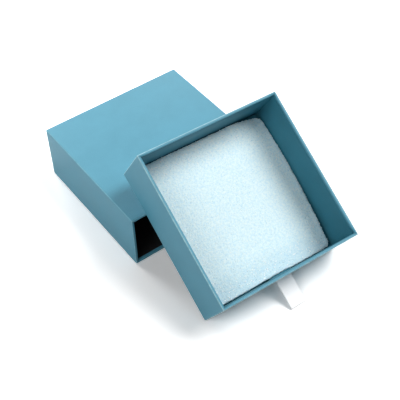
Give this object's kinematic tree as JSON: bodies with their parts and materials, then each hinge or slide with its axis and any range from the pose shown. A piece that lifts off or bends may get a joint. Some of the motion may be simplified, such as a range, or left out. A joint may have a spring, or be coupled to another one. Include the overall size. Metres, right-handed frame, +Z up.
{
  "type": "sliding drawer gift box",
  "caption": "Small square rigid gift box: a paper-covered sleeve with a black inside, and its drawer taken out and leaned on it, with a sponge pad and a ribbon pull.",
  "frame": {"origin": "centre of the sleeve's underside", "axes": "+Z up from the sleeve's underside, -Y out of the sleeve's mouth, +X to the right of the mouth seen from the front"},
  "size_m": [0.0957, 0.1639, 0.0732],
  "materials": {
    "blue_paper": "matte",
    "blue_lining": "matte",
    "black_paper": "matte",
    "greyboard": "matte",
    "kraft_tape": "matte",
    "patch_paper": "matte",
    "white_ribbon": "satin",
    "white_foam": "matte"
  },
  "bodies": {
    "sleeve": {"sleeve_base_board": "greyboard", "sleeve_top_board": "greyboard", "sleeve_left_board": "greyboard", "sleeve_right_board": "greyboard", "sleeve_back_board": "greyboard", "sleeve_edge_tapes": "kraft_tape", "sleeve_wrap": "blue_paper", "sleeve_base_sheet": "blue_paper", "sleeve_lining": "black_paper"},
    "drawer": {"drawer_base_board": "greyboard", "drawer_front_board": "greyboard", "drawer_back_board": "greyboard", "drawer_left_board": "greyboard", "drawer_right_board": "greyboard", "drawer_corner_tapes": "kraft_tape", "drawer_wrap": "blue_paper", "drawer_lining": "blue_lining", "ribbon_tails": "white_ribbon", "ribbon_anchor_patch": "patch_paper"},
    "ribbon": {"ribbon_pull": "white_ribbon"},
    "pad": {"foam_pad": "white_foam"}
  },
  "joints": [
    {"name": "drawer_slide", "type": "slide", "parent": "sleeve", "child": "drawer", "axis": [0, -1, 0], "range_m": [0, 0.088]},
    {"name": "ribbon_flex", "type": "hinge", "parent": "drawer", "child": "ribbon", "pos_m": [0.00748, -0.10521, 0.0087], "axis": [-0.9994, 0.0304, 0.0189], "range_deg": [0, 75]},
    {"name": "pad_lift", "type": "slide", "parent": "drawer", "child": "pad", "axis": [0, -0.5292, 0.8485], "range_m": [0, 0.032]}
  ]
}
